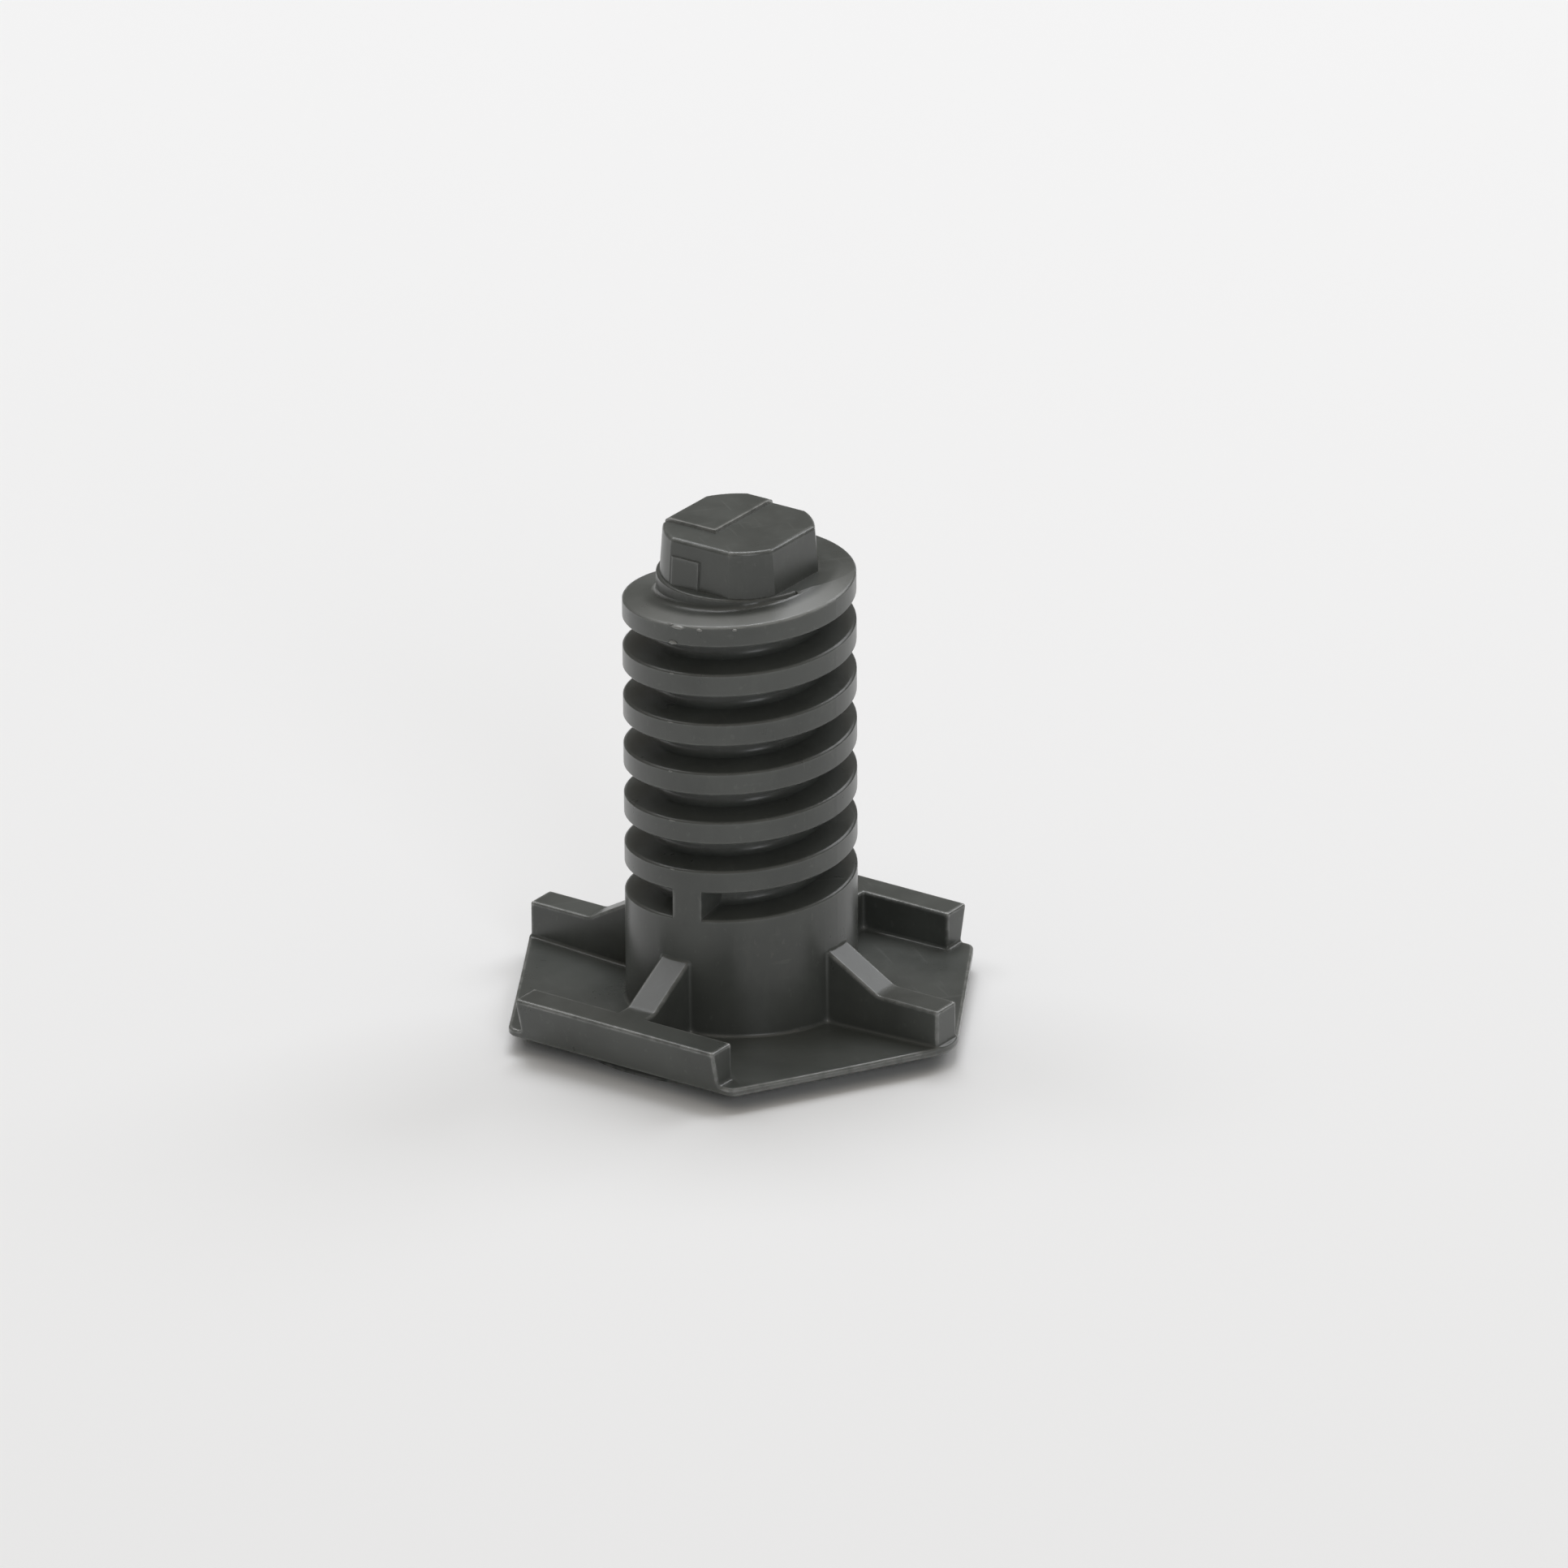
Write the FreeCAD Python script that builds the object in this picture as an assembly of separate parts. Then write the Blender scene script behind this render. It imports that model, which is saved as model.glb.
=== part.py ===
import FreeCAD, Part

import math
import os

from FreeCAD import Vector

# Moulded levelling leg for a kitchen range, in millimetres.
# Z is up the shaft, the table is z = 0 and the shaft's axis is x = y = 0.
# Ribs run along X to two corners of the hexagon and along Y to its two walled sides.

# Foot: a shallow hexagonal dish that stands on a flat ring under its middle.
# Its corners beside the walls are tighter than the two at the ends of the ribs.
across_flats = 42.4
wall_corner_radius = 1.2
rib_corner_radius = 4.0
foot_thickness = 2.0
rim_thickness = 0.75
rim_width = 2.2
rim_rise = 0.3
seat_radius = 13.0

# Walls on two opposite sides, and four ribs with gussets against the shaft.
wall_thickness = 3.2
wall_end_setback = 0.94
wall_height = 4.0
wall_lean = 1.5
rib_thickness = 3.2
rib_tip_setback = 0.47
gusset_foot_setback = 1.4
gusset_rise = 3.2
gusset_foot_curve = 1.5

# Shaft with a coarse single-start right-hand thread.
thread_diameter = 22.0
thread_pitch = 5.0
thread_depth = 3.2
crest_width = 2.25
flank_angle = 10.0
shaft_length = 43.2

# The groove's lower edge starts at this height above the pan, at this angle from X.
groove_start_height = 9.03
groove_start_angle = 90.0

# After these turns the groove drops a little, steepens and runs out through the shoulder.
closed_turns = 6
run_out_turns = 0.9
run_out_drop = 0.4
run_out_pitch = 5.4
column_open_angle = 258.0

# Key that bridges the lowest groove beside the mould's parting plane.
key_width = 3.0
key_offset = 1.3

# Drive nub: a square with its corners turned to a circle, a little wider at its base.
nub_width_x = 12.4
nub_width_y = 12.6
nub_corner_radius = 7.1
nub_height = 4.8
nub_base_flare = 0.35

# Raised pad on half of the nub's end, and a thin step low on its front face.
pad_height = 0.3
pad_side = 0.5
pad_front = 3.1
step_length = 3.1
step_height = 2.8
step_thickness = 0.2

# Blind core up the middle of the shaft, drafted so that it leaves the mould.
core_mouth_radius = 5.2
core_end_radius = 4.6
core_roof_thickness = 4.5

# Small radii on inside and outside corners, and in the thread's crests and root.
inner_radius = 0.35
outer_radius = 0.25
rim_edge_radius = 0.2
crest_radius = 0.35
root_corner_radius = 0.6
column_radius = 0.3
nub_radius = 0.4

# Places that follow from the sizes above.
pan_level = foot_thickness
wall_top = pan_level + wall_height
shoulder_level = pan_level + shaft_length
nub_top = shoulder_level + nub_height
shaft_radius = thread_diameter / 2
root_radius = shaft_radius - thread_depth
groove_width = thread_pitch - crest_width
groove_level = pan_level + groove_start_height + groove_width / 2
flat_distance = across_flats / 2
corner_distance = flat_distance / math.cos(math.radians(30))
corner_tip = corner_distance - rib_corner_radius * (1 / math.cos(math.radians(30)) - 1)
rib_end = corner_tip - rib_tip_setback
wall_length = corner_distance - 2 * wall_end_setback
gusset_foot_radius = flat_distance - wall_thickness - gusset_foot_setback
rim_start = flat_distance - rim_width
rim_level = pan_level + rim_rise - rim_thickness
floor_slope = rim_rise / (flat_distance - seat_radius)
origin = Vector(0, 0, 0)
up = Vector(0, 0, 1)

# Spare length of the shapes that are trimmed, and how far a rounded cut passes the face that it leaves.
trim = 5.0
cut_overlap = 0.03
clear_width = 1.0
crest_stop_angle = 12.0

# For telling edges apart: their nearness to a place, a step beside them, and their angles.
near = 0.01
probe = 0.02
probe_share = 0.3
least_bend_angle = 6.0
upright_angle = 25.0


def prism(points, extrusion):
    """Closed outline through the points, extruded along a vector."""
    return Part.Face(Part.makePolygon(points + [points[0]])).extrude(extrusion)


def turned(points):
    """Closed outline in the XZ plane, turned round the shaft's axis."""
    return Part.Face(Part.makePolygon(points + [points[0]])).revolve(origin, up, 360)


def faces_by_edge(shape):
    """Each edge that joins two faces, with those faces."""
    joined = {}
    for face in shape.Faces:
        for edge in face.Edges:
            joined.setdefault(edge.hashCode(), (edge, []))[1].append(face)
    return [(edge, faces) for edge, faces in joined.values() if len(faces) == 2]


def outward(face, point):
    """Normal of a face at a point on it, pointing out of the material."""
    return face.normalAt(*face.Surface.parameter(point))


def corner_edges(shape, hollow):
    """Edges with an inside corner where hollow is true, or with an outside one."""
    found = []
    for edge, faces in faces_by_edge(shape):
        middle = edge.valueAt((edge.FirstParameter + edge.LastParameter) / 2)
        first, second = (outward(face, middle) for face in faces)
        if first.cross(second).Length < math.sin(math.radians(least_bend_angle)):
            continue
        along = first - second * first.dot(second)
        along.normalize()
        beside = middle + (along - second * probe_share) * probe
        if shape.isInside(beside, 1e-6, True) == hollow:
            found.append(edge)
    return found


def along_z(edge):
    """Whether a straight edge stands upright or nearly so."""
    return abs(edge.tangentAt(edge.FirstParameter).z) > math.cos(math.radians(upright_angle))


def level_at(edge, level):
    """Whether an edge lies at one level."""
    return abs(edge.BoundBox.ZMin - level) < near and abs(edge.BoundBox.ZMax - level) < near


def floor_level(radius):
    """Height of the dish's floor at a distance from the axis."""
    return pan_level + floor_slope * max(0, radius - seat_radius)


def foot_envelope():
    """Space that the foot may fill: a rounded hexagon above its raised underside."""
    reach = corner_distance + trim
    low = flat_distance - wall_lean
    plain_sides = [
        Vector(corner_distance, 0, 0),
        Vector(0, 2 * flat_distance, 0),
        Vector(-corner_distance, 0, 0),
        Vector(0, -2 * flat_distance, 0),
    ]
    walled_sides = [
        Vector(-reach, -low, 0),
        Vector(-reach, low, 0),
        Vector(-reach, flat_distance, wall_top),
        Vector(-reach, -flat_distance, wall_top),
    ]
    block = prism(plain_sides, up * wall_top).common(prism(walled_sides, Vector(2 * reach, 0, 0)))
    for radius, beside_wall in ((wall_corner_radius, True), (rib_corner_radius, False)):
        upright_edges = [edge for edge in block.Edges if along_z(edge)]
        corners = [edge for edge in upright_edges if (abs(edge.CenterOfMass.y) > near) == beside_wall]
        block = block.makeFillet(radius, corners)
    section = [
        Vector(0, 0, 0),
        Vector(seat_radius, 0, 0),
        Vector(rim_start, 0, rim_level),
        Vector(reach, 0, rim_level),
        Vector(reach, 0, wall_top),
        Vector(0, 0, wall_top),
    ]
    block = block.common(turned(section))
    outline = []
    for edge in block.Edges:
        start = edge.Vertexes[0].Point
        if math.hypot(start.x, start.y) > rim_start + near and not along_z(edge):
            outline.append(edge)
    block = block.makeFillet(outer_radius, outline)
    above_gussets = Part.makeCylinder(gusset_foot_radius + gusset_foot_curve, nub_top + 3 * trim)
    return block.fuse(above_gussets)


def side_wall(angle):
    """Wall along one side of the hexagon, left long on its outer face."""
    depth = wall_thickness + trim
    wall = Part.makeBox(depth, wall_length, wall_top)
    shown = [edge for edge in wall.Edges if edge.CenterOfMass.z > near and edge.CenterOfMass.x < depth - near]
    wall = wall.makeFillet(outer_radius, shown)
    wall.translate(Vector(flat_distance - wall_thickness, -wall_length / 2, 0))
    wall.rotate(origin, up, angle)
    return wall


def rib(angle, length):
    """Rib from the shaft outward, with a gusset that leans on the shaft."""
    half = rib_thickness / 2
    slope = gusset_rise / (gusset_foot_radius - shaft_radius)
    peak = wall_top + slope * (gusset_foot_radius - root_radius)
    section = [
        Vector(root_radius, -half, 0),
        Vector(length, -half, 0),
        Vector(length, -half, wall_top),
        Vector(gusset_foot_radius, -half, wall_top),
        Vector(root_radius, -half, peak),
    ]
    solid = prism(section, Vector(0, rib_thickness, 0))
    bend = [edge for edge in solid.Edges if edge.CenterOfMass.isEqual(Vector(gusset_foot_radius, 0, wall_top), near)]
    solid = solid.makeFillet(gusset_foot_curve, bend)
    crown = []
    for edge in solid.Edges:
        centre = edge.CenterOfMass
        on_side = abs(abs(centre.y) - half) < near and centre.x > root_radius + near
        if centre.z > near and (on_side or centre.x > length - near):
            crown.append(edge)
    solid = solid.makeFillet(outer_radius, crown)
    solid.rotate(origin, up, angle)
    return solid


def foot_and_shaft():
    """Pan, walls, ribs and an overlong plain shaft, with their small radii."""
    reach = corner_distance + 2 * trim
    dish = [
        Vector(0, 0, -trim),
        Vector(reach, 0, -trim),
        Vector(reach, 0, floor_level(reach)),
        Vector(seat_radius, 0, pan_level),
        Vector(0, 0, pan_level),
    ]
    body = turned(dish)
    for angle in (90, 270):
        body = body.fuse(side_wall(angle))
        body = body.fuse(rib(angle, flat_distance + trim / 2))
    for angle in (0, 180):
        body = body.fuse(rib(angle, rib_end))
    body = body.fuse(Part.makeCylinder(shaft_radius, nub_top + 2 * trim)).removeSplitter()
    body = body.makeFillet(inner_radius, corner_edges(body, True))
    body = body.common(foot_envelope()).removeSplitter()
    highest = floor_level(corner_distance) + near
    rim = []
    for edge in corner_edges(body, False):
        if edge.BoundBox.ZMin > floor_level(rim_start) - near and edge.BoundBox.ZMax < highest:
            rim.append(edge)
    return body.makeFillet(rim_edge_radius, rim)


def bend(centre_x, centre_z, radius, angles):
    """Arc in the XZ plane through three angles, in degrees from X towards Z."""
    points = []
    for angle in angles:
        turn = math.radians(angle)
        points.append(Vector(centre_x + radius * math.cos(turn), 0, centre_z + radius * math.sin(turn)))
    return Part.Arc(*points).toShape()


def groove_profile(open_above):
    """Section of the groove: curved root, sloped flanks and eased crests."""
    tilt = math.radians(flank_angle)
    half_root = groove_width / 2 - thread_depth * math.tan(tilt)
    root_z = half_root + root_corner_radius * (math.tan(tilt) - 1 / math.cos(tilt))
    root_angles = (180, (270 + flank_angle) / 2, 90 + flank_angle)
    root = bend(root_radius + root_corner_radius, root_z, root_corner_radius, root_angles)
    crest_x = shaft_radius + cut_overlap - crest_radius
    crest_z = half_root + (crest_x - root_radius) * math.tan(tilt) + crest_radius / math.cos(tilt)
    crest_angles = (flank_angle - 90, (flank_angle - 90) / 2, -crest_stop_angle)
    crest = bend(crest_x, crest_z, crest_radius, crest_angles)
    flank = Part.makeLine(root.valueAt(root.LastParameter), crest.valueAt(crest.FirstParameter))
    edge_end = crest.valueAt(crest.LastParameter)
    clear = Vector(shaft_radius + clear_width, 0, edge_end.z)
    upper = [root, flank, crest, Part.makeLine(edge_end, clear)]
    lower = [edge.mirror(origin, up) for edge in upper]
    low_root = Vector(root_radius, 0, -root_z)
    low_clear = Vector(clear.x, 0, -clear.z)
    if open_above:
        top_root = Vector(root_radius, 0, thread_pitch)
        top_clear = Vector(clear.x, 0, thread_pitch)
        closing = Part.makePolygon([low_root, top_root, top_clear, low_clear]).Edges
        return Part.Wire(Part.sortEdges(lower + closing)[0])
    closing = [Part.makeLine(low_root, Vector(root_radius, 0, root_z)), Part.makeLine(clear, low_clear)]
    return Part.Wire(Part.sortEdges(upper + lower + closing)[0])


def groove(level, pitch, turns, open_above):
    """Cutter for a run of the thread's groove whose middle starts at a level."""
    spine = Part.Wire(Part.makeHelix(pitch, pitch * turns, shaft_radius))
    cutter = spine.makePipeShell([groove_profile(open_above)], True, True)
    cutter.rotate(origin, up, groove_start_angle)
    cutter.translate(Vector(0, 0, level))
    return cutter


def key():
    """Block over the lowest groove on the front, from crest to crest."""
    middle = groove_level + thread_pitch * (270 - groove_start_angle) / 360
    block = Part.makeBox(key_width, shaft_radius + trim, thread_pitch)
    block.translate(Vector(key_offset - key_width / 2, -shaft_radius - trim, middle - thread_pitch / 2))
    return block


def nub_form(level, extra):
    """Drafted nub up to a level, with extra width on every side."""
    outlines = []
    for height, growth in ((shoulder_level, nub_base_flare + extra), (nub_top, extra)):
        x = nub_width_x / 2 + growth
        y = nub_width_y / 2 + growth
        corners = [Vector(x, -y, height), Vector(x, y, height), Vector(-x, y, height), Vector(-x, -y, height)]
        outlines.append(Part.makePolygon(corners + [corners[0]]))
    square = Part.makeLoft(outlines, True, True)
    base_radius = nub_corner_radius + nub_base_flare
    turned_corners = Part.makeCone(base_radius, nub_corner_radius, nub_height, Vector(0, 0, shoulder_level))
    below = Part.makeBox(4 * trim, 4 * trim, level, Vector(-2 * trim, -2 * trim, 0))
    return square.common(turned_corners).common(below)


def nub():
    """Drive nub with its raised pad and its thin front step."""
    low = nub_form(nub_top - pad_height, 0)
    low = low.makeFillet(nub_radius, [edge for edge in low.Edges if level_at(edge, nub_top - pad_height)])
    high = nub_form(nub_top, 0)
    high = high.makeFillet(nub_radius, [edge for edge in high.Edges if level_at(edge, nub_top)])
    pad = Part.makeBox(2 * trim, 2 * trim, nub_top, Vector(-2 * trim - pad_side, -pad_front, 0))
    step = nub_form(shoulder_level + step_height, step_thickness)
    front = Part.makeBox(step_length, 2 * trim, nub_top, Vector(-step_length, -2 * trim, 0))
    return low.fuse([high.common(pad), step.common(front)]).removeSplitter()


def core():
    """Blind drafted hole up the shaft."""
    return Part.makeCone(core_mouth_radius, core_end_radius, shoulder_level - core_roof_thickness)


def rounded_end(radius, level, easing):
    """Plain cylinder up to a level, with its top edge rounded."""
    cylinder = Part.makeCylinder(radius + cut_overlap, level)
    return cylinder.makeFillet(easing, [edge for edge in cylinder.Edges if level_at(edge, level)])


def shaft_trim():
    """Cutter that ends the shaft in a flat shoulder with an eased edge."""
    start = Vector(0, 0, shoulder_level - crest_radius)
    blank = Part.makeCylinder(shaft_radius + clear_width, 4 * trim, start)
    return blank.cut(rounded_end(shaft_radius, shoulder_level, crest_radius))


def column_trim():
    """Cutter that rounds the shaft's core where the groove has run out through the shoulder."""
    start = Vector(0, 0, shoulder_level - column_radius)
    blank = Part.makeCylinder(root_radius + column_radius, 4 * trim, start, up, column_open_angle)
    blank.rotate(origin, up, groove_start_angle)
    return blank.cut(rounded_end(root_radius, shoulder_level, column_radius))


def levelling_leg():
    """The whole moulding."""
    closed = groove(groove_level, thread_pitch, closed_turns, False)
    run_out_level = groove_level + thread_pitch * closed_turns - run_out_drop
    run_out = groove(run_out_level, run_out_pitch, run_out_turns, True)
    body = foot_and_shaft().cut(closed.cut(key())).cut(run_out)
    body = body.cut(shaft_trim()).cut(column_trim())
    return body.fuse(nub()).cut(core()).removeSplitter()


os.makedirs("parts", exist_ok=True)
levelling_leg().exportStep("parts/leveling_leg.step")
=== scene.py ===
import logging
import math
import random
from dataclasses import dataclass, field
from enum import Enum
from typing import Any, Optional, Union

import bmesh
import bpy
from mathutils import Matrix, Vector


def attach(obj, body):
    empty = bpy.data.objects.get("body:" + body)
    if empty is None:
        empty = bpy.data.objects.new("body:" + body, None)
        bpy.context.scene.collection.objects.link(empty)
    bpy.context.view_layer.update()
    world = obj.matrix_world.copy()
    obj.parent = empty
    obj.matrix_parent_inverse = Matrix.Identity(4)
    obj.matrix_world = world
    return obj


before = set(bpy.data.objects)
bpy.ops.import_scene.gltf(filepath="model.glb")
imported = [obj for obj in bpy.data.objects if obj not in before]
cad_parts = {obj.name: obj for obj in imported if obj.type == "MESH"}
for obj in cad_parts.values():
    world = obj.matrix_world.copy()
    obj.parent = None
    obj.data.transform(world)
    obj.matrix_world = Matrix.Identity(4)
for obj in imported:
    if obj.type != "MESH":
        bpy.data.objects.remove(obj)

log = logging.getLogger("leveling_leg")

MM = 0.001

Colour = tuple[float, float, float, float]
Triple = tuple[float, float, float]
Range = tuple[float, float]

# Numbers of the Mix node's sockets for colours: factor, first and second, and the result.
MIX_INPUTS = (0, 6, 7)
MIX_RESULT = 2

NOISE_MIDDLE = 0.5


class MouldSide(Enum):
    """Where the mould's halves meet on the shaft, in degrees round it."""

    FRONT = -90.0
    BACK = 90.0


@dataclass(frozen=True)
class LegSizes:
    """Sizes of the leg that the finish and the flash depend on, in millimetres."""

    shoulder_level: float = 45.2
    shaft_radius: float = 11.0
    thread_pitch: float = 5.0
    crest_half: float = 1.125
    front_crest: float = 17.4
    turns: int = 6
    thread_start: Range = (10.2, 11.4)
    nub_edge: Range = (48.7, 49.1)

    def crest(self, side: float, turn: int) -> float:
        """Middle height of one turn's crest, counted from the bottom, at a side in degrees."""
        share = (side - MouldSide.FRONT.value) / 360.0
        return self.front_crest + self.thread_pitch * (turn + share)


@dataclass(frozen=True)
class CameraPose:
    """Where the photograph was taken from.

    The leg's pan floor is the reference point. Right and up are along the picture's sides.
    """

    azimuth: float = 34.87
    elevation: float = 23.99
    roll: float = -0.426
    distance: float = 1666.7 * MM
    lens: float = 404.3
    sensor: float = 36.0
    clip: Range = (0.05, 20.0)
    aim_right: float = 4.11 * MM
    aim_up: float = 19.44 * MM
    reference: Vector = field(default_factory=lambda: Vector((0.0, 0.0, 2.0 * MM)))

    def axes(self) -> tuple[Vector, Vector, Vector]:
        """Picture axes in the frame.

        Returns:
            Unit vectors to the right, up, and from the leg towards the camera.
        """
        turn, tilt = math.radians(self.azimuth), math.radians(self.elevation)
        right = Vector((math.cos(turn), math.sin(turn), 0.0))
        away = Vector((-math.sin(turn), math.cos(turn), 0.0))
        up = away * math.sin(tilt) + Vector((0.0, 0.0, math.cos(tilt)))
        return right, up, right.cross(up)

    def matrix(self) -> Matrix:
        """Place and turn of the camera.

        Returns:
            The camera's world matrix.
        """
        right, up, towards = self.axes()
        place = self.reference + towards * self.distance
        target = self.reference + right * self.aim_right + up * self.aim_up
        roll = math.radians(self.roll)
        back = (place - target).normalized()
        picture_up = up * math.cos(roll) - right * math.sin(roll)
        side = picture_up.cross(back).normalized()
        rotation = Matrix((side, back.cross(side), back)).transposed().to_4x4()
        return Matrix.Translation(place) @ rotation


Number = Union[float, "Socket"]


class Socket:
    """An output of a shader node, which can be calculated with."""

    def __init__(self, graph: "NodeGraph", output: bpy.types.NodeSocket) -> None:
        """Wraps an output of a node in the graph."""
        self.graph = graph
        self.output = output

    def __add__(self, other: Number) -> "Socket":
        """Adds."""
        return self.graph.math("ADD", self, other)

    def __radd__(self, other: Number) -> "Socket":
        """Adds to a number."""
        return self.graph.math("ADD", other, self)

    def __sub__(self, other: Number) -> "Socket":
        """Subtracts."""
        return self.graph.math("SUBTRACT", self, other)

    def __rsub__(self, other: Number) -> "Socket":
        """Subtracts from a number."""
        return self.graph.math("SUBTRACT", other, self)

    def __mul__(self, other: Number) -> "Socket":
        """Multiplies."""
        return self.graph.math("MULTIPLY", self, other)

    def __rmul__(self, other: Number) -> "Socket":
        """Multiplies a number."""
        return self.graph.math("MULTIPLY", other, self)

    def __truediv__(self, other: Number) -> "Socket":
        """Divides."""
        return self.graph.math("DIVIDE", self, other)

    def __rtruediv__(self, other: Number) -> "Socket":
        """Divides a number."""
        return self.graph.math("DIVIDE", other, self)

    def __pow__(self, other: Number) -> "Socket":
        """Raises to a power."""
        return self.graph.math("POWER", self, other)

    def __abs__(self) -> "Socket":
        """The value without its sign."""
        return self.graph.math("ABSOLUTE", self)

    def limited(self) -> "Socket":
        """The value kept between 0 and 1."""
        return self.graph.math("MINIMUM", self.graph.math("MAXIMUM", self, 0.0), 1.0)


class NodeGraph:
    """Builds the node tree of one material or world."""

    def __init__(self, owner: Union[bpy.types.Material, bpy.types.World]) -> None:
        """Clears the owner's tree.

        Args:
            owner: the material or world.
        """
        owner.use_nodes = True
        self.tree = owner.node_tree
        self.tree.nodes.clear()

    def node(
        self, kind: str, inputs: Optional[dict[Any, Any]] = None, **settings: Any
    ) -> bpy.types.Node:
        """Adds one node of any kind.

        Args:
            kind: Blender's type name of the node.
            inputs: input names or numbers, each with a value or a socket to link.
            settings: properties of the node.

        Returns:
            The new node.
        """
        made = self.tree.nodes.new(kind)
        for name, value in settings.items():
            setattr(made, name, value)
        for name, value in (inputs or {}).items():
            if isinstance(value, Socket):
                self.tree.links.new(value.output, made.inputs[name])
            else:
                made.inputs[name].default_value = value
        return made

    def out(self, node: bpy.types.Node, name: Union[str, int] = 0) -> Socket:
        """An output of a node, by name or number, ready to calculate with."""
        return Socket(self, node.outputs[name])

    def math(self, operation: str, *values: Number) -> Socket:
        """Calculates with values or sockets, by Blender's name of the operation."""
        return self.out(self.node("ShaderNodeMath", dict(enumerate(values)), operation=operation))

    def place(self) -> Socket:
        """Place on the leg, in millimetres.

        Returns:
            The position as a vector.
        """
        position = self.out(self.node("ShaderNodeTexCoord"), "Object")
        scale = {0: position, 1: (1 / MM,) * 3}
        return self.out(self.node("ShaderNodeVectorMath", scale, operation="MULTIPLY"))

    def parts(self, vector: Socket) -> tuple[Socket, Socket, Socket]:
        """Splits a vector into its three parts."""
        split = self.node("ShaderNodeSeparateXYZ", {0: vector})
        return self.out(split, 0), self.out(split, 1), self.out(split, 2)

    def noise(self, vector: Socket, size: float, detail: float, roughness: float) -> Socket:
        """Soft random pattern, mostly from 0.3 to 0.7, by place and size in millimetres."""
        inputs = {"Vector": vector, "Scale": 1 / size, "Detail": detail, "Roughness": roughness}
        return self.out(self.node("ShaderNodeTexNoise", inputs), 0)

    def between(self, value: Socket, low: float, high: float) -> Socket:
        """Smooth step of a value.

        Args:
            value: the value.
            low: where the step starts.
            high: where it ends.

        Returns:
            0 up to low, 1 from high.
        """
        inputs = {"Value": value, "From Min": low, "From Max": high}
        ranged = self.node("ShaderNodeMapRange", inputs, interpolation_type="SMOOTHSTEP")
        return self.out(ranged)

    def colours(self, factor: Number, first: Any, second: Any) -> Socket:
        """Mixes two colours.

        Args:
            factor: share of the second.
            first: colour or socket.
            second: colour or socket.

        Returns:
            The mixed colour.
        """
        inputs = dict(zip(MIX_INPUTS, (factor, first, second)))
        mix = self.node("ShaderNodeMix", inputs, data_type="RGBA", blend_type="MIX")
        return self.out(mix, MIX_RESULT)

    def bump(
        self, height: Socket, distance: float, strength: float, under: Optional[Socket] = None
    ) -> Socket:
        """Surface relief.

        Args:
            height: relief from 0 to 1.
            distance: depth of the full relief in metres.
            strength: how much of it shows.
            under: relief below this one.

        Returns:
            The normal.
        """
        inputs = {"Height": height, "Distance": distance, "Strength": strength}
        if under:
            inputs["Normal"] = under
        return self.out(self.node("ShaderNodeBump", inputs))

    def finish(self, shader: bpy.types.Node, kind: str = "ShaderNodeOutputMaterial") -> None:
        """Links the last shader to an output node of the kind."""
        self.node(kind, {"Surface": self.out(shader)})


@dataclass(frozen=True)
class Pattern:
    """One random pattern on the plastic, with its size and depth in millimetres.

    Detail and roughness are the number and the strength of its finer layers. Its mask is 0 up
    to low and 1 from high.
    """

    size: float
    detail: float = 2.0
    roughness: float = 0.5
    depth: float = 0.0
    strength: float = 1.0
    low: float = 0.35
    high: float = 0.65

    def on(self, graph: NodeGraph, place: Socket) -> Socket:
        """Draws the pattern by place."""
        return graph.noise(place, self.size, self.detail, self.roughness)

    def mask(self, graph: NodeGraph, pattern: Socket) -> Socket:
        """Where the drawn pattern is strong."""
        return graph.between(pattern, self.low, self.high)

    def relief(self, graph: NodeGraph, pattern: Socket, under: Optional[Socket] = None) -> Socket:
        """Relief of the drawn pattern over the relief below it."""
        return graph.bump(pattern, self.depth * MM, self.strength, under)


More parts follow.
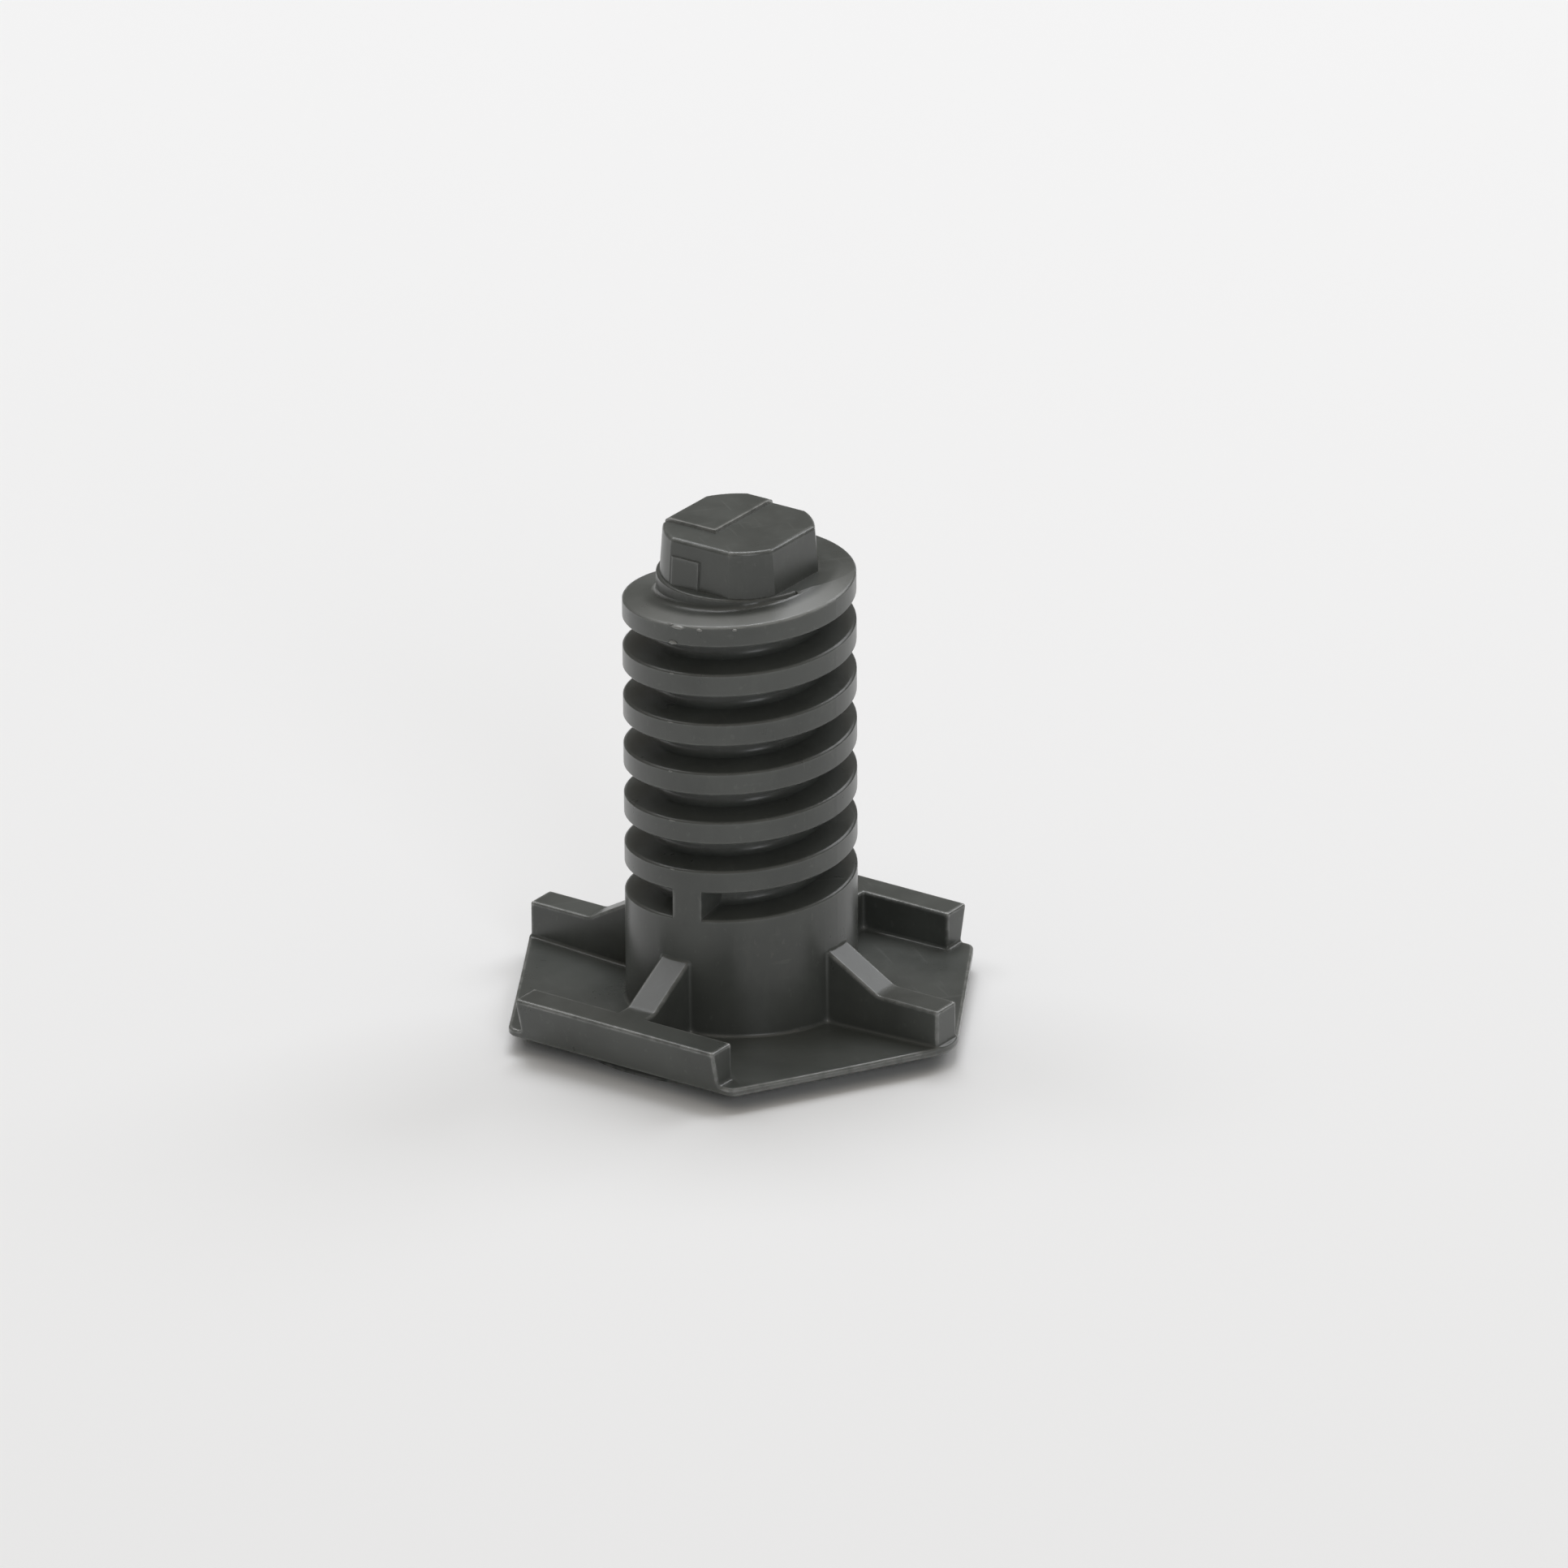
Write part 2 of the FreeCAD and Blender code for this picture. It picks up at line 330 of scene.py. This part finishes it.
@dataclass(frozen=True)
class MouldedPlastic:
    """Black nylon as it leaves a plain steel mould."""

    name: str = "black_plastic"
    base: Colour = (0.0735, 0.0785, 0.0725, 1.0)
    # Pale colour: real wear on the scuffs, and painted highlights on the edges, the inside corners
    # and the last turn.
    pale_wear_and_highlight: Colour = (0.34, 0.345, 0.333, 1.0)
    roughness: float = 0.30
    ior: float = 1.52
    gloss: float = 0.9
    gloss_roughness: float = 0.12
    cloud_shades: Range = (0.9, 1.12)
    cloud_rough: float = 0.12
    streak_shade: float = 1.4
    streak_share: float = 0.25
    streak_rough: float = 0.1
    scuff_share: float = 0.06
    scuff_rough: float = 0.04
    # Inside corners: painted highlights, with their reach, range and share, and the change of
    # roughness there.
    join_reach: float = 0.7
    join_range: Range = (0.22, 0.5)
    join_share: float = 0.5
    join_rough: float = -0.1
    # Outside edges: painted highlights, with their reach, range, share and weakest share between
    # patches.
    edge_reach: float = 0.5
    edge_range: Range = (0.09, 0.36)
    edge_share: float = 0.95
    least_highlight: float = 0.35
    # Share of the painted highlights and gloss left on the thread.
    thread_highlight: float = 0.28
    # Band of painted highlight on the last turn's upper face, towards the front.
    lead_in: float = 2.4
    lead_fade: float = 0.6
    lead_share: float = 0.45
    lead_slope: Range = (0.5, 0.7)
    lead_drop: Range = (1.9, 1.5)
    lead_front: Range = (-0.3, 0.95)
    look_samples: int = 8
    clouds: Pattern = Pattern(7.0, 3.0, depth=0.05, strength=0.3)
    streaks: Pattern = Pattern(1.6, 4.0, 0.6, depth=0.015, strength=0.3, low=0.52, high=0.72)
    grain: Pattern = Pattern(0.16, depth=0.006, strength=0.5)
    # Random patches where the painted edge highlights are strongest.
    highlight_patches: Pattern = Pattern(1.3, 3.0, 0.6, low=0.35, high=0.6)
    scratches: Pattern = Pattern(1.0, low=0.66, high=0.74)
    melt_flow: Triple = (1.0, 1.0, 0.35)
    scratch_draw: Triple = (0.12, 2.4, 1.1)
    scratch_turns: Range = (0.6, -0.9)
    front: Range = (0.62, -0.78)
    sizes: LegSizes = LegSizes()

    def make(self) -> bpy.types.Material:
        """Builds the material.

        Returns:
            The material.
        """
        material = bpy.data.materials.new(self.name)
        graph = NodeGraph(material)
        place = graph.place()
        clouds = self.clouds.on(graph, place)
        streaks = self.streaks.on(graph, self.scaled(graph, place, self.melt_flow))
        grain = self.grain.on(graph, place)
        scuffs = self.scuffs(graph, place)
        # Foot and nub top, where the painted highlights are kept strongest.
        highlight_zone = self.highlight_zone(graph, place)
        # Painted highlights along the outside edges; the same mask also adds gloss.
        edge_highlights = self.painted_edge_highlights(graph, place) * highlight_zone
        # Painted highlights in the inside corners; the same mask also makes them glossy.
        join_highlights = self.painted_join_highlights(graph) * highlight_zone
        # Painted highlight on the last turn's upper face.
        turn_highlight = self.painted_turn_highlight(graph, place)
        dark, light = (self.shade(level) for level in self.cloud_shades)
        tone = graph.colours(self.clouds.mask(graph, clouds), dark, light)
        streaked = self.streaks.mask(graph, streaks) * self.streak_share
        tone = graph.colours(streaked, tone, self.shade(self.streak_shade))
        # The scuffs mix in the pale colour as real wear; the other shares use it as painted
        # highlights.
        shares = (
            scuffs * self.scuff_share,
            edge_highlights,
            join_highlights * self.join_share,
            turn_highlight * self.lead_share,
        )
        for share in shares:
            tone = graph.colours(share, tone, self.pale_wear_and_highlight)
        rough = self.roughness + (clouds - NOISE_MIDDLE) * self.cloud_rough
        rough = rough + (streaks - NOISE_MIDDLE) * self.streak_rough
        rough = rough + scuffs * self.scuff_rough + join_highlights * self.join_rough
        relief = self.clouds.relief(graph, clouds)
        relief = self.streaks.relief(graph, streaks, relief)
        relief = self.grain.relief(graph, grain, relief)
        shader = graph.node("ShaderNodeBsdfPrincipled", {
            "Base Color": tone,
            "Roughness": rough.limited(),
            "IOR": self.ior,
            "Coat Weight": ((edge_highlights + join_highlights) * self.gloss).limited(),
            "Coat Roughness": self.gloss_roughness,
            "Normal": relief,
        })
        graph.finish(shader)
        return material

    def shade(self, level: float) -> Colour:
        """The base colour, darker or lighter by a factor."""
        return (*(part * level for part in self.base[:3]), 1.0)

    def scaled(self, graph: NodeGraph, place: Socket, factors: Triple) -> Socket:
        """Place times a factor on each axis, where under 1 draws a pattern out."""
        inputs = {0: place, 1: factors}
        return graph.out(graph.node("ShaderNodeVectorMath", inputs, operation="MULTIPLY"))

    def covered(self, graph: NodeGraph, reach: float, inside: bool) -> Socket:
        """How much of the surroundings the leg itself fills.

        Args:
            graph: the material's graph.
            reach: how far to look, in millimetres.
            inside: whether to look into the plastic.

        Returns:
            0 where nothing is met, up to 1.
        """
        look = {"inside": inside, "only_local": True, "samples": self.look_samples}
        node = graph.node("ShaderNodeAmbientOcclusion", {"Distance": reach * MM}, **look)
        return 1.0 - graph.out(node, "AO")

    def painted_edge_highlights(self, graph: NodeGraph, place: Socket) -> Socket:
        """Outside edges, painted paler as highlights.

        Args:
            graph: the material's graph.
            place: place in millimetres.

        Returns:
            0 on faces, up to 1 where the painted edge highlight is strongest.
        """
        edges = graph.between(self.covered(graph, self.edge_reach, True), *self.edge_range)
        patches = self.highlight_patches.mask(graph, self.highlight_patches.on(graph, place))
        return edges * (self.least_highlight + (1.0 - self.least_highlight) * patches) * self.edge_share

    def highlight_zone(self, graph: NodeGraph, place: Socket) -> Socket:
        """Foot and top of the nub, where the painted highlights and the gloss are strongest.

        Args:
            graph: the material's graph.
            place: place in millimetres.

        Returns:
            1 there, less on the thread and the nub's sides.
        """
        height = graph.parts(place)[2]
        above_foot = graph.between(height, *self.sizes.thread_start)
        on_top = graph.between(height, *self.sizes.nub_edge)
        return 1.0 - above_foot * (1.0 - on_top) * (1.0 - self.thread_highlight)

    def painted_join_highlights(self, graph: NodeGraph) -> Socket:
        """Inside corners, painted paler as highlights and glossy from the mould's polished edges:
        up to 1 there, 0 on faces.
        """
        return graph.between(self.covered(graph, self.join_reach, False), *self.join_range)

    def painted_turn_highlight(self, graph: NodeGraph, place: Socket) -> Socket:
        """Upper face of the last turn, painted paler as a highlight where it faces up and towards
        the front.

        Args:
            graph: the material's graph.
            place: place in millimetres.

        Returns:
            Strength of the painted highlight, 0 elsewhere.
        """
        sizes = self.sizes
        across, deep, height = graph.parts(place)
        radius = (across * across + deep * deep) ** 0.5
        turned = graph.math("ARCTAN2", deep, across) / math.tau
        first = sizes.crest(0.0, sizes.turns - 1) + sizes.crest_half
        edge = graph.math("MINIMUM", first + turned * sizes.thread_pitch, sizes.shoulder_level)
        normal = graph.out(graph.node("ShaderNodeNewGeometry"), "Normal")
        upward = graph.between(graph.parts(normal)[2], *self.lead_slope)
        near_edge = graph.between(abs(edge - height), *self.lead_drop)
        ahead = across * self.front[0] + deep * self.front[1]
        facing = graph.between(ahead / graph.math("MAXIMUM", radius, 1.0), *self.lead_front)
        fade = self.lead_in * self.lead_fade
        ring = graph.between(sizes.shaft_radius - radius, self.lead_in, fade)
        return upward * near_edge * facing * ring

    def scuffs(self, graph: NodeGraph, place: Socket) -> Socket:
        """Fine short scratches in two directions.

        Args:
            graph: the material's graph.
            place: place in millimetres.

        Returns:
            0 on clean plastic, up to 1 on a scratch.
        """
        marks = []
        for turn in self.scratch_turns:
            inputs = {0: place, "Angle": turn}
            turned = graph.node("ShaderNodeVectorRotate", inputs, rotation_type="Z_AXIS")
            drawn = self.scaled(graph, graph.out(turned), self.scratch_draw)
            marks.append(self.scratches.mask(graph, self.scratches.on(graph, drawn)))
        return (marks[0] + marks[1]).limited()


@dataclass(frozen=True)
class PaleFloor:
    """Plain floor that runs on into the background."""

    name: str = "pale_floor"
    colour: Colour = (0.89, 0.893, 0.895, 1.0)
    roughness: float = 0.9
    specular: float = 0.1
    half_side: float = 3.0
    level: float = -0.01 * MM

    def make(self) -> bpy.types.Object:
        """Builds the floor.

        Returns:
            The floor.
        """
        reach, level = self.half_side, self.level
        mesh = bpy.data.meshes.new(self.name)
        signs = ((-1, -1), (1, -1), (1, 1), (-1, 1))
        corners = [(reach * across, reach * deep, level) for across, deep in signs]
        mesh.from_pydata(corners, [], [(0, 1, 2, 3)])
        floor = bpy.data.objects.new(self.name, mesh)
        bpy.context.scene.collection.objects.link(floor)
        material = bpy.data.materials.new(self.name)
        graph = NodeGraph(material)
        graph.finish(graph.node("ShaderNodeBsdfPrincipled", {
            "Base Color": self.colour,
            "Roughness": self.roughness,
            "Specular IOR Level": self.specular,
        }))
        mesh.materials.append(material)
        return floor


@dataclass(frozen=True)
class SoftBox:
    """Square studio lamp, placed by its direction from the leg."""

    name: str
    azimuth: float
    elevation: float
    distance: float
    side: float
    power: float
    colour: Triple = (0.98, 1.0, 1.04)

    def make(self, target: Vector) -> bpy.types.Object:
        """Builds the lamp.

        Args:
            target: what it points at.

        Returns:
            The lamp.
        """
        turn, tilt = math.radians(self.azimuth), math.radians(self.elevation)
        flat = math.cos(tilt)
        way = Vector((math.cos(turn) * flat, math.sin(turn) * flat, math.sin(tilt)))
        data = bpy.data.lights.new(self.name, "AREA")
        data.shape = "SQUARE"
        data.size = self.side
        data.energy = self.power
        data.color = self.colour
        lamp = bpy.data.objects.new(self.name, data)
        lamp.location = target + way * self.distance
        lamp.rotation_mode = "QUATERNION"
        lamp.rotation_quaternion = (-way).to_track_quat("-Z", "Y")
        bpy.context.scene.collection.objects.link(lamp)
        return lamp


@dataclass(frozen=True)
class Studio:
    """Floor, lamps, world and camera."""

    pose: CameraPose = CameraPose()
    lamps: tuple[SoftBox, ...] = (
        SoftBox("top_light", 126.0, 65.0, 1.6, 0.9, 11.6),
        SoftBox("left_light", 182.0, 54.0, 1.6, 0.62, 2.7),
        SoftBox("right_light", 74.0, 42.0, 1.6, 0.75, 5.0),
        SoftBox("front_light", -38.0, 22.0, 1.6, 0.6, 3.4),
    )
    horizon: Colour = (0.106, 0.100, 0.090, 1.0)
    zenith: Colour = (0.53, 0.50, 0.455, 1.0)
    backdrop: Colour = (0.86, 0.86, 0.86, 1.0)
    sky_rise: Range = (0.3, 1.0)
    aim_level: float = 20.0 * MM

    def make(self) -> list[bpy.types.Object]:
        """Builds the studio and sets the scene's camera.

        Returns:
            The floor, the lamps and the camera.
        """
        made = [PaleFloor().make()]
        middle = Vector((0.0, 0.0, self.aim_level))
        made.extend(lamp.make(middle) for lamp in self.lamps)
        self.make_world()
        made.append(self.make_camera())
        bpy.context.scene.view_settings.view_transform = "Standard"
        return made

    def make_world(self) -> None:
        """Lights the leg from all round and shows a pale background."""
        world = bpy.data.worlds.new("studio")
        bpy.context.scene.world = world
        graph = NodeGraph(world)
        direction = graph.out(graph.node("ShaderNodeTexCoord"), "Generated")
        height = graph.between(graph.parts(direction)[2], *self.sky_rise)
        low = graph.node("ShaderNodeBackground", {"Color": self.horizon, "Strength": 1.0})
        high = graph.node("ShaderNodeBackground", {"Color": self.zenith, "Strength": 1.0})
        sky = graph.node("ShaderNodeMixShader", {0: height, 1: graph.out(low), 2: graph.out(high)})
        seen = graph.out(graph.node("ShaderNodeLightPath"), "Is Camera Ray")
        shown = graph.node("ShaderNodeBackground", {"Color": self.backdrop, "Strength": 1.0})
        mixed = graph.node("ShaderNodeMixShader", {0: seen, 1: graph.out(sky), 2: graph.out(shown)})
        graph.finish(mixed, "ShaderNodeOutputWorld")

    def make_camera(self) -> bpy.types.Object:
        """Builds the camera at the photograph's viewpoint.

        Returns:
            The camera.
        """
        data = bpy.data.cameras.new("camera")
        data.sensor_width = self.pose.sensor
        data.lens = self.pose.lens
        data.clip_start, data.clip_end = self.pose.clip
        camera = bpy.data.objects.new("camera", data)
        camera.matrix_world = self.pose.matrix()
        bpy.context.scene.collection.objects.link(camera)
        bpy.context.scene.camera = camera
        return camera


@dataclass(frozen=True)
class Burr:
    """Small irregular bead left at an edge by the mould, in degrees and millimetres."""

    side: float
    height: float
    wide: float
    tall: float
    proud: float


@dataclass
class MouldFlash:
    """Small whitened burrs where the mould's halves met on the thread."""

    material: bpy.types.Material
    sizes: LegSizes = LegSizes()
    edge_drop: float = 0.16
    scatter: Range = (-2.5, 1.0)
    widths: Range = (0.18, 0.4)
    heights: Range = (0.06, 0.1)
    small_proud: float = 0.08
    unevenness: Range = (0.75, 1.2)
    seed: int = 11
    burrs: tuple[Burr, ...] = (
        Burr(-86.5, 43.20, 0.8, 0.20, 0.2),
        Burr(-89.5, 41.55, 0.45, 0.22, 0.2),
        Burr(-75.0, 43.30, 0.3, 0.13, 0.14),
        Burr(-57.5, 43.55, 0.25, 0.12, 0.14),
    )

    def make(self) -> bpy.types.Object:
        """Builds the flash as one piece.

        Returns:
            The piece.
        """
        chance = random.Random(self.seed)
        mesh = bmesh.new()
        for side in MouldSide:
            for turn in range(self.sizes.turns):
                self.edge_burr(mesh, side, turn, chance)
        for burr in self.burrs:
            self.bead(mesh, burr, chance)
        bmesh.ops.recalc_face_normals(mesh, faces=mesh.faces)
        data = bpy.data.meshes.new("mould_flash")
        mesh.to_mesh(data)
        mesh.free()
        data.shade_smooth()
        data.materials.append(self.material)
        piece = bpy.data.objects.new("mould_flash", data)
        bpy.context.scene.collection.objects.link(piece)
        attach(piece, "root")
        return piece

    def edge_burr(
        self, mesh: bmesh.types.BMesh, side: MouldSide, turn: int, chance: random.Random
    ) -> None:
        """Adds one small burr at a crest's upper edge, where there is a crest.

        Args:
            mesh: what it is added to.
            side: where the mould's halves meet.
            turn: number of the turn.
            chance: source of its irregularity.
        """
        height = self.sizes.crest(side.value, turn) + self.sizes.crest_half - self.edge_drop
        place = side.value + chance.uniform(*self.scatter)
        wide, tall = chance.uniform(*self.widths), chance.uniform(*self.heights)
        if height < self.sizes.shoulder_level - self.edge_drop:
            self.bead(mesh, Burr(place, height, wide, tall, self.small_proud), chance)

    def on_shaft(self, side: float, along: float, out: float, height: float) -> Vector:
        """A point near the shaft's outside.

        Args:
            side: degrees round the shaft.
            along: distance from there, round the shaft.
            out: distance out from the crest.
            height: height above the floor.

        Returns:
            The point in metres.
        """
        turn = math.radians(side) + along / self.sizes.shaft_radius
        reach = self.sizes.shaft_radius + out
        return Vector((reach * math.cos(turn), reach * math.sin(turn), height)) * MM

    def bead(self, mesh: bmesh.types.BMesh, burr: Burr, chance: random.Random) -> None:
        """Adds one burr.

        Args:
            mesh: what it is added to.
            burr: its place and size.
            chance: source of its irregularity.
        """
        made = bmesh.ops.create_icosphere(mesh, subdivisions=2, radius=1.0)["verts"]
        for vertex in made:
            rough = vertex.co * chance.uniform(*self.unevenness)
            height = burr.height + rough.z * burr.tall
            vertex.co = self.on_shaft(burr.side, rough.x * burr.wide, rough.y * burr.proud, height)


@dataclass
class Leg:
    """The leg itself: the frame's moulding with its finish."""

    nodes: dict[str, bpy.types.Object]
    plastic: MouldedPlastic = MouldedPlastic()
    whitened: MouldedPlastic = MouldedPlastic(
        name="whitened_plastic", base=(0.21, 0.212, 0.2, 1.0), edge_share=0.5
    )

    def make(self) -> list[bpy.types.Object]:
        """Gives the moulding its material and adds the flash, which thin plastic turns pale.

        Returns:
            The pieces that were added.
        """
        material = self.plastic.make()
        for name, node in self.nodes.items():
            for slot in node.material_slots:
                slot.material = material
            log.info("dressed %s", name)
        return [MouldFlash(self.whitened.make()).make()]


def main() -> None:
    """Dresses the leg, builds the studio and logs what it made."""
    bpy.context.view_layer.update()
    for piece in Leg(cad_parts).make():
        log.info("made %s", piece.name)
    for thing in Studio().make():
        log.info("made %s", thing.name)


if __name__ == "__main__":
    main()
